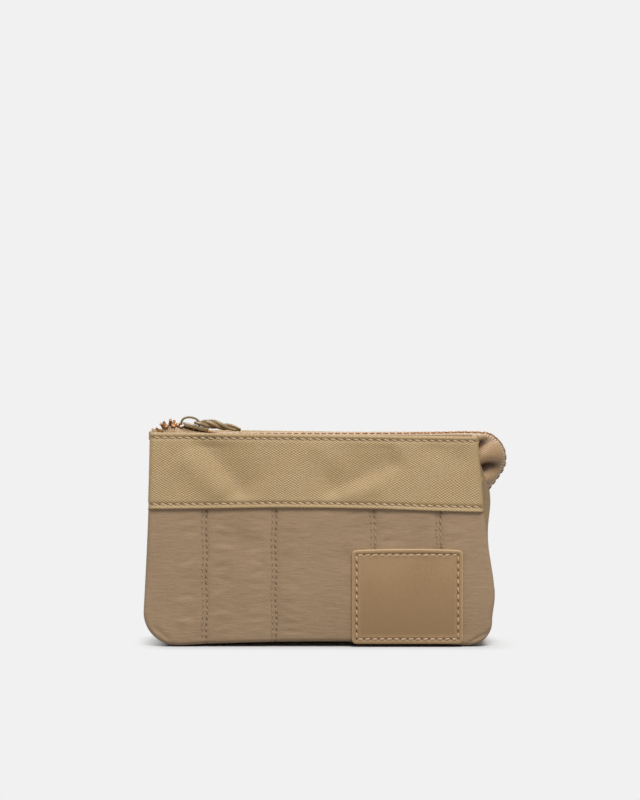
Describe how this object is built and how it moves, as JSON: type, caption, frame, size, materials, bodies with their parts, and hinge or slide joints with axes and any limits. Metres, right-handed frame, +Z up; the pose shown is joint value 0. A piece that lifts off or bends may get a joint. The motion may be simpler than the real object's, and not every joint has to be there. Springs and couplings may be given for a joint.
{
  "type": "zipped travel pouch",
  "caption": "Small padded travel wallet pouch with a coated band, a metal zip over the mouth and round one corner, a twisted wire pull and a bare leather patch.",
  "frame": {"origin": "under the middle of the pouch, on the surface it stands on", "axes": "+X to the right as seen from the front, +Y to the back (the front faces -Y), +Z up"},
  "size_m": [0.1316, 0.0306, 0.0832],
  "materials": {
    "nylon": "crinkled quilted nylon",
    "coated_band": "finely ribbed coated cloth",
    "lining": "plain taffeta",
    "foam": "matt foam",
    "patch_leather": "smooth, matt",
    "thread": "twisted thread",
    "tape": "woven satin tape",
    "copper_zip": "brushed copper colour",
    "painted_slider": "satin olive paint"
  },
  "bodies": {
    "pouch": {"base_panel": "nylon", "base_lining": "lining", "left_gusset": "nylon", "right_gusset": "nylon", "zip_top_stops": "copper_zip", "zip_bottom_stop": "copper_zip"},
    "front_wall": {"front_panel": "nylon", "front_padding": "foam", "front_band": "coated_band", "front_lining": "lining", "front_band_stitches": "thread", "front_quilt_stitches": "thread", "patch": "patch_leather", "patch_stitches": "thread", "zip_tape_front": "tape", "zip_teeth_front": "copper_zip"},
    "back_wall": {"back_panel": "nylon", "back_padding": "foam", "back_band": "coated_band", "back_lining": "lining", "card_pocket": "lining", "back_band_stitches": "thread", "back_quilt_stitches": "thread", "zip_tape_back": "tape", "zip_teeth_back": "copper_zip"},
    "slider": {"slider_body": "painted_slider", "slider_bridge": "painted_slider"},
    "pull": {"puller": "painted_slider"}
  },
  "joints": [
    {"name": "slider_slide", "type": "slide", "parent": "pouch", "child": "slider", "axis": [0.9998, 0, -0.0181], "range_m": [-0.006, 0.092]},
    {"name": "front_open", "type": "hinge", "parent": "pouch", "child": "front_wall", "pos_m": [0, -0.012, 0.0004], "axis": [1, 0, 0], "range_deg": [-0.7, 10], "deforming": ["zip_tape_front", "zip_teeth_front"]},
    {"name": "back_open", "type": "hinge", "parent": "pouch", "child": "back_wall", "pos_m": [0, 0.012, 0.0004], "axis": [-1, 0, 0], "range_deg": [-0.7, 10], "deforming": ["zip_tape_back", "zip_teeth_back"]},
    {"name": "pull_swing", "type": "hinge", "parent": "slider", "child": "pull", "pos_m": [-0.04738, 0, 0.08025], "axis": [0, -1, 0], "range_deg": [0, 150]}
  ],
  "couplings": [
    {"joint": "front_open", "follows": "slider_slide", "rad_per_m": 1.85},
    {"joint": "back_open", "follows": "slider_slide", "rad_per_m": 1.85}
  ]
}
